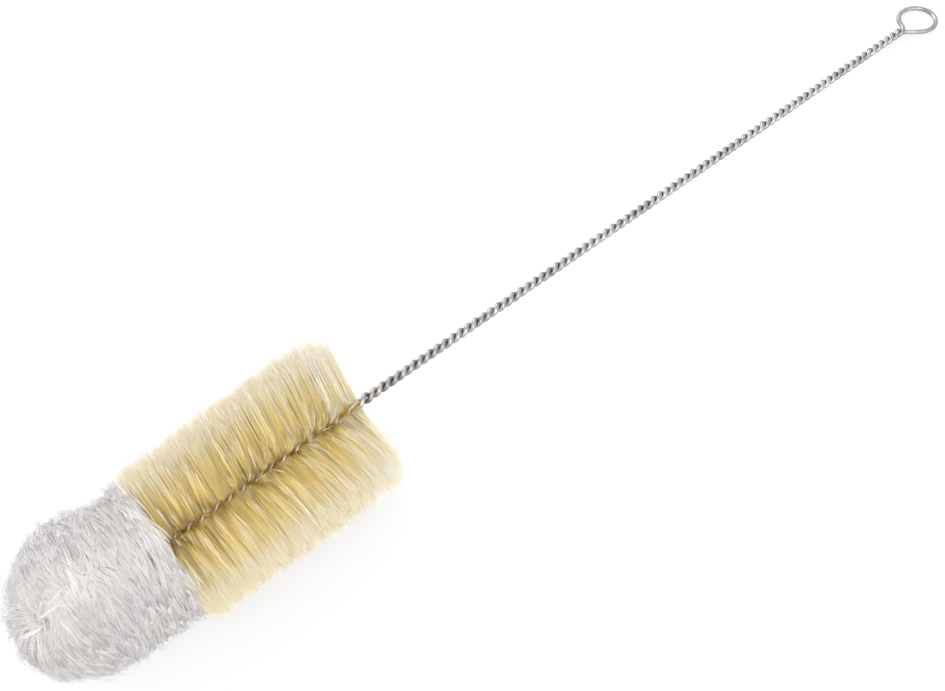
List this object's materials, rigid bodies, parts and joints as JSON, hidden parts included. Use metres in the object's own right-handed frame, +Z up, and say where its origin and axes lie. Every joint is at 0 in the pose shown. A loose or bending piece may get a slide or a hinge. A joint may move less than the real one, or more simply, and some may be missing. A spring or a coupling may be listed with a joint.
{
  "type": "bottle brush",
  "caption": "Bottle brush: a steel wire folded into a hanging ring and twisted into a stem, gripping a cylinder of natural bristles and a round wool tip for scrubbing bottles.",
  "frame": {"origin": "middle of the brush's length and width on the table it lies on", "axes": "+X along the brush from the wool tip to the ring, +Z up from the table"},
  "size_m": [0.4941, 0.0698, 0.0698],
  "materials": {
    "wire": "bright drawn wire",
    "bristles": "pale natural bristle, darker at the roots",
    "wool": "white wool, shaggy"
  },
  "bodies": {
    "root": {"wire": "wire", "bristle_row_1": "bristles", "bristle_row_2": "bristles", "bristle_row_3": "bristles", "bristle_row_4": "bristles", "bristle_row_5": "bristles", "bristle_row_6": "bristles", "bristle_row_7": "bristles", "bristle_row_8": "bristles", "bristle_row_9": "bristles", "bristle_row_10": "bristles", "bristle_row_11": "bristles", "bristle_row_12": "bristles", "bristle_row_13": "bristles", "bristle_row_14": "bristles", "bristle_row_15": "bristles", "wool_row_1": "wool", "wool_row_2": "wool", "wool_row_3": "wool", "wool_row_4": "wool", "wool_crown": "wool"}
  },
  "joints": []
}
